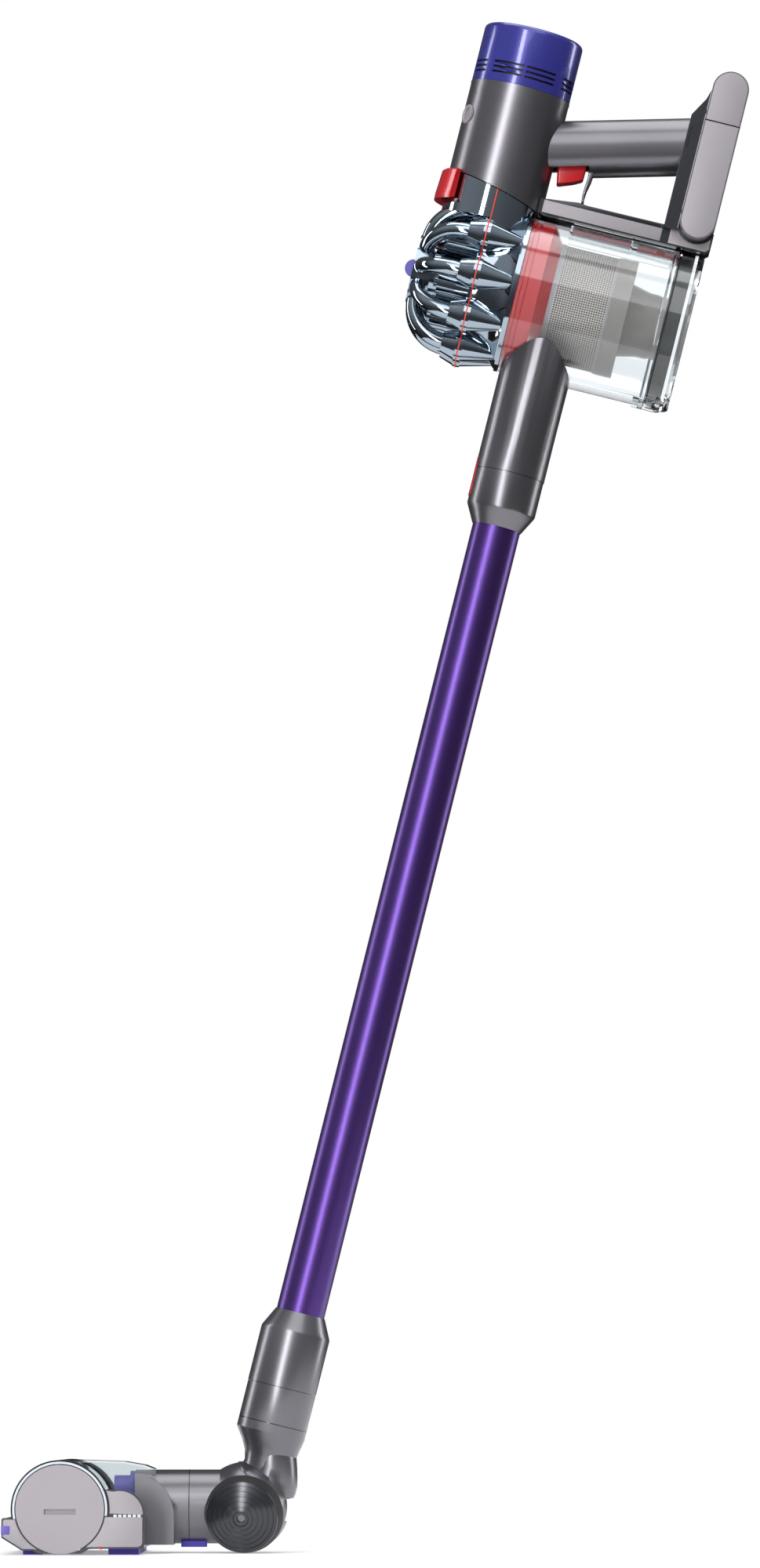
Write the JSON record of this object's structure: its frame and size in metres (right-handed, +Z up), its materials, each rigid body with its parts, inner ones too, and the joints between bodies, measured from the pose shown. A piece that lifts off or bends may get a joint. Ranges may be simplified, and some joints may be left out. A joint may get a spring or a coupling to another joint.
{
  "type": "cordless stick vacuum cleaner",
  "caption": "Cordless stick vacuum: handheld cyclone unit with clear bin, motor and grip battery on a long wand, with a wheeled swivel neck and a clear-topped roller head.",
  "frame": {"origin": "on the floor under the middle of the bounding box, with the head standing flat", "axes": "+Z up; +X from the head's front edge to the battery at the rear; +Y across the head, to the machine's left"},
  "size_m": [0.5846, 0.2504, 1.2137],
  "materials": {
    "nickel_plastic": "satin, metallic grey",
    "black_gloss": "gloss black",
    "light_grey": "satin light grey",
    "bar_grey": "satin mid grey",
    "chrome_blue": "bluish chrome",
    "orange_seal": "satin orange red",
    "red_plastic": "gloss red",
    "shroud_steel": "etched mesh",
    "blue_plastic": "gloss blue",
    "purple_aluminium": "anodised purple",
    "violet_plastic": "matt violet",
    "clear_plastic": "clear",
    "tyre_rubber": "matt black",
    "seal_rubber": "matt black",
    "steel": "bright",
    "stator_iron": "lacquered",
    "board_green": "matt green",
    "filter_fleece": "white fleece",
    "brush_fibre": "dense nylon and carbon bristles",
    "felt": "violet felt",
    "cell_wrap": "shrink wrap"
  },
  "bodies": {
    "handheld": {"motor_housing": "nickel_plastic", "motor_bucket": "seal_rubber", "motor_stator": "stator_iron", "motor_bearings": "steel", "control_board": "board_green", "emblem_disc": "light_grey", "cyclone_body": "chrome_blue", "cyclone_seal": "orange_seal", "cyclone_cover": "chrome_blue", "shroud_collar": "red_plastic", "shroud_mesh": "shroud_steel", "shroud_rings": "bar_grey", "shroud_skirt": "nickel_plastic", "dust_tube": "bar_grey", "grip": "nickel_plastic", "trigger_spring": "steel", "trigger_guard": "nickel_plastic", "battery_column": "nickel_plastic", "battery_case": "light_grey", "battery_cap": "light_grey", "battery_cells": "cell_wrap", "battery_screws": "steel", "lower_bar": "bar_grey"},
    "rotor": {"impeller": "nickel_plastic", "motor_shaft": "steel"},
    "filter_cap": {"filter_cap": "blue_plastic", "post_filter": "filter_fleece"},
    "pre_filter": {"pre_filter": "filter_fleece", "pre_filter_tab": "violet_plastic"},
    "release_lever": {"release_lever": "red_plastic"},
    "trigger": {"trigger": "red_plastic"},
    "bin": {"bin_shell": "clear_plastic", "bin_inlet": "nickel_plastic", "runner_strip": "red_plastic", "door_pin": "steel"},
    "bin_catch": {"bin_catch": "red_plastic"},
    "bin_door": {"bin_door": "clear_plastic", "door_seal": "seal_rubber"},
    "wand": {"wand_tube": "purple_aluminium", "wand_top_collar": "nickel_plastic", "wand_bottom_collar": "nickel_plastic", "wand_cable": "seal_rubber"},
    "wand_latch": {"wand_latch": "red_plastic"},
    "neck": {"neck_elbow": "nickel_plastic"},
    "yoke": {"neck_ball": "black_gloss", "duct_felt": "felt"},
    "wheel_left": {"wheel_left": "nickel_plastic", "tyre_left": "tyre_rubber"},
    "wheel_right": {"wheel_right": "nickel_plastic", "tyre_right": "tyre_rubber"},
    "head": {"head_chassis": "nickel_plastic", "head_window": "clear_plastic", "end_cover_left": "light_grey", "end_cover_right": "light_grey", "felt_strips": "felt", "duct_gasket": "violet_plastic", "brush_motor": "steel"},
    "roller_cap": {"roller_cap": "light_grey"},
    "brush": {"brush_bar": "violet_plastic", "brush_bristles": "brush_fibre"}
  },
  "joints": [
    {"name": "rotor_spin", "type": "hinge", "parent": "handheld", "child": "rotor", "pos_m": [0.10288, 0, 1.12237], "axis": [0.2419, 0, 0.9703], "continuous": true},
    {"name": "filter_lift", "type": "slide", "parent": "handheld", "child": "filter_cap", "axis": [0.2419, 0, 0.9703], "range_m": [0, 0.06]},
    {"name": "pre_filter_pull", "type": "slide", "parent": "handheld", "child": "pre_filter", "axis": [-0.9703, 0, 0.2419], "range_m": [0, 0.07]},
    {"name": "release_press", "type": "slide", "parent": "handheld", "child": "release_lever", "axis": [-0.9703, 0, 0.2419], "range_m": [0, 0.006], "stiffness_N_per_m": 400, "springref_m": -0.003},
    {"name": "trigger_pull", "type": "slide", "parent": "handheld", "child": "trigger", "axis": [-0.0227, 0, 0.9997], "range_m": [0, 0.005], "stiffness_N_per_m": 600, "springref_m": -0.003, "deforming": ["trigger_spring"]},
    {"name": "bin_slide", "type": "slide", "parent": "handheld", "child": "bin", "axis": [0.9703, 0, -0.2419], "range_m": [0, 0.06]},
    {"name": "catch_slide", "type": "slide", "parent": "bin", "child": "bin_catch", "axis": [-0.9703, 0, 0.2419], "range_m": [0, 0.004], "stiffness_N_per_m": 400, "springref_m": -0.003},
    {"name": "door_hinge", "type": "hinge", "parent": "bin", "child": "bin_door", "pos_m": [0.22016, 0, 0.90865], "axis": [0, 1, 0], "range_deg": [0, 100]},
    {"name": "wand_pull", "type": "slide", "parent": "bin", "child": "wand", "axis": [-0.2419, 0, -0.9703], "range_m": [0, 0.05]},
    {"name": "latch_press", "type": "slide", "parent": "wand", "child": "wand_latch", "axis": [0.9703, 0, -0.2419], "range_m": [0, 0.0012], "stiffness_N_per_m": 800, "springref_m": -0.002},
    {"name": "neck_pull", "type": "slide", "parent": "wand", "child": "neck", "axis": [-0.2419, 0, -0.9703], "range_m": [0, 0.045]},
    {"name": "neck_pitch", "type": "hinge", "parent": "neck", "child": "yoke", "pos_m": [-0.106, 0, 0.036], "axis": [0, 1, 0], "range_deg": [-76, 14]},
    {"name": "head_roll", "type": "hinge", "parent": "yoke", "child": "head", "pos_m": [-0.15, 0, 0.036], "axis": [1, 0, 0], "range_deg": [-90, 90]},
    {"name": "wheel_left_spin", "type": "hinge", "parent": "yoke", "child": "wheel_left", "pos_m": [-0.106, 0.031, 0.0308], "axis": [-0.1361, 0.9686, -0.2079], "continuous": true},
    {"name": "wheel_right_spin", "type": "hinge", "parent": "yoke", "child": "wheel_right", "pos_m": [-0.106, -0.031, 0.0308], "axis": [-0.1361, -0.9686, -0.2079], "continuous": true},
    {"name": "roller_cap_turn", "type": "hinge", "parent": "head", "child": "roller_cap", "pos_m": [-0.247, -0.12, 0.035], "axis": [0, 1, 0], "range_deg": [0, 45]},
    {"name": "brush_spin", "type": "hinge", "parent": "head", "child": "brush", "pos_m": [-0.247, 0, 0.035], "axis": [0, 1, 0], "continuous": true}
  ]
}
